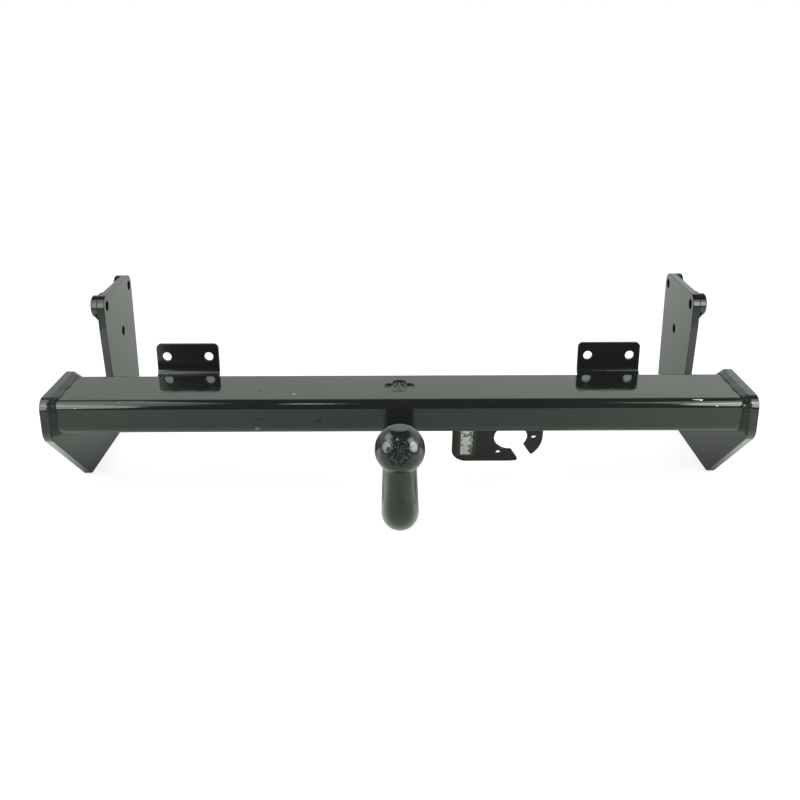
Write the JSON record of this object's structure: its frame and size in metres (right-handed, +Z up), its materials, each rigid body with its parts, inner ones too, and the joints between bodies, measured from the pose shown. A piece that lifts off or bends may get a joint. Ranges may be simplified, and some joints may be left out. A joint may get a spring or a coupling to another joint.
{
  "type": "towbar",
  "caption": "Fixed vehicle towbar: flat cross beam between two side plates with chassis arms, swan neck with coupling ball, bumper brackets and a socket plate.",
  "frame": {"origin": "centre of the coupling ball", "axes": "+X to the right seen from behind the vehicle, along the cross beam; +Y forwards under the vehicle; +Z up"},
  "size_m": [0.838, 0.595, 0.2015],
  "materials": {
    "painted_steel": "gloss",
    "painted_disc": "gloss",
    "painted_weld": "gloss",
    "painted_forging": "gloss",
    "label_foil": "satin"
  },
  "bodies": {
    "root": {"cross_beam": "painted_steel", "left_side_plate": "painted_steel", "right_side_plate": "painted_steel", "left_bumper_bracket": "painted_steel", "right_bumper_bracket": "painted_steel", "socket_plate": "painted_steel", "left_front_spacer": "painted_disc", "left_rear_spacer": "painted_disc", "left_lower_spacer": "painted_disc", "right_front_spacer": "painted_disc", "right_rear_spacer": "painted_disc", "right_lower_spacer": "painted_disc", "left_beam_weld": "painted_weld", "right_beam_weld": "painted_weld", "left_spacer_welds": "painted_weld", "right_spacer_welds": "painted_weld", "left_bracket_weld": "painted_weld", "right_bracket_weld": "painted_weld", "neck_base_weld": "painted_weld", "neck_plug_weld": "painted_weld", "socket_plate_weld": "painted_weld", "swan_neck": "painted_forging", "rating_sticker": "label_foil"}
  },
  "joints": []
}
